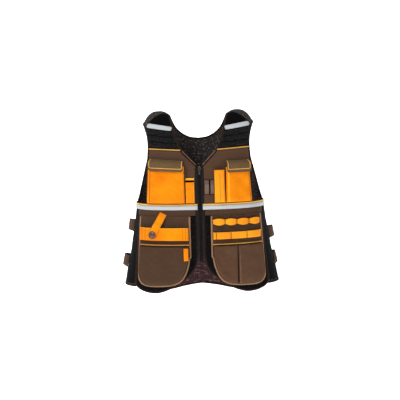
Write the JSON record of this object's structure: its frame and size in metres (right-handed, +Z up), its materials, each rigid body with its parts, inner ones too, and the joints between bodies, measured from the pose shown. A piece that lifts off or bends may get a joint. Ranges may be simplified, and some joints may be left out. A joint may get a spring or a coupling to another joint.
{
  "type": "utility work vest",
  "caption": "Sleeveless work vest of brown canvas and black mesh with a front zip, orange tool pockets, flap pockets, big pouches, reflective bands and webbing side loops, in its worn shape.",
  "frame": {"origin": "midway between the shoulder crests, at crest height and mid depth, where the wearer carries the vest", "axes": "+X to the wearer's left, +Y to the wearer's back, +Z up; the front faces -Y"},
  "size_m": [0.5374, 0.2551, 0.6368],
  "materials": {
    "brown_canvas": "matt brown work canvas",
    "flap_canvas": "matt olive-brown canvas",
    "tan_binding": "tan woven binding",
    "orange_cloth": "bright orange coated cloth",
    "amber_trim": "light orange piping",
    "black_mesh": "black spacer mesh",
    "dark_binding": "dark brown woven binding",
    "reflective_tape": "silver reflective tape",
    "strap_webbing": "dark brown webbing",
    "loop_webbing": "grey-brown webbing",
    "zip_cloth": "black zip tape and teeth",
    "zip_metal": "dull metal"
  },
  "bodies": {
    "root": {"right_chest_panel": "brown_canvas", "right_skirt_panel": "black_mesh", "right_shoulder_pad": "black_mesh", "right_shoulder_reflector": "reflective_tape", "right_chest_piping": "amber_trim", "right_arm_binding": "dark_binding", "right_front_binding": "dark_binding", "right_waist_edging": "amber_trim", "right_waist_reflector": "reflective_tape", "right_zip_tape": "zip_cloth", "right_pouch_board": "brown_canvas", "right_pouch_binding": "tan_binding", "right_cargo_pocket": "brown_canvas", "right_cargo_piping": "amber_trim", "left_chest_panel": "brown_canvas", "left_skirt_panel": "black_mesh", "left_shoulder_pad": "black_mesh", "left_shoulder_reflector": "reflective_tape", "left_chest_piping": "amber_trim", "left_arm_binding": "dark_binding", "left_front_binding": "dark_binding", "left_waist_edging": "amber_trim", "left_waist_reflector": "reflective_tape", "left_zip_tape": "zip_cloth", "left_pouch_board": "brown_canvas", "left_pouch_binding": "tan_binding", "left_cargo_pocket": "brown_canvas", "left_cargo_piping": "amber_trim", "back_panel": "black_mesh", "neck_binding": "dark_binding", "back_hem_binding": "dark_binding", "zip_teeth": "zip_cloth", "zip_slider": "zip_metal", "zip_pull": "zip_metal", "right_chest_pocket": "orange_cloth", "right_chest_flap": "flap_canvas", "right_flap_binding": "amber_trim", "left_chest_pocket": "orange_cloth", "left_chest_flap": "flap_canvas", "left_flap_binding": "amber_trim", "pen_sleeve": "orange_cloth", "pen_tab": "orange_cloth", "tool_sleeve": "orange_cloth", "inner_web_loop": "loop_webbing", "outer_web_loop": "loop_webbing", "band_pocket": "orange_cloth", "pen_pockets": "orange_cloth", "loop_tape": "orange_cloth", "label_tab": "orange_cloth", "hammer_strap": "orange_cloth", "strap_snap": "zip_metal", "right_upper_side_strap": "strap_webbing", "right_lower_side_strap": "strap_webbing", "left_upper_side_strap": "strap_webbing", "left_lower_side_strap": "strap_webbing"}
  },
  "joints": []
}
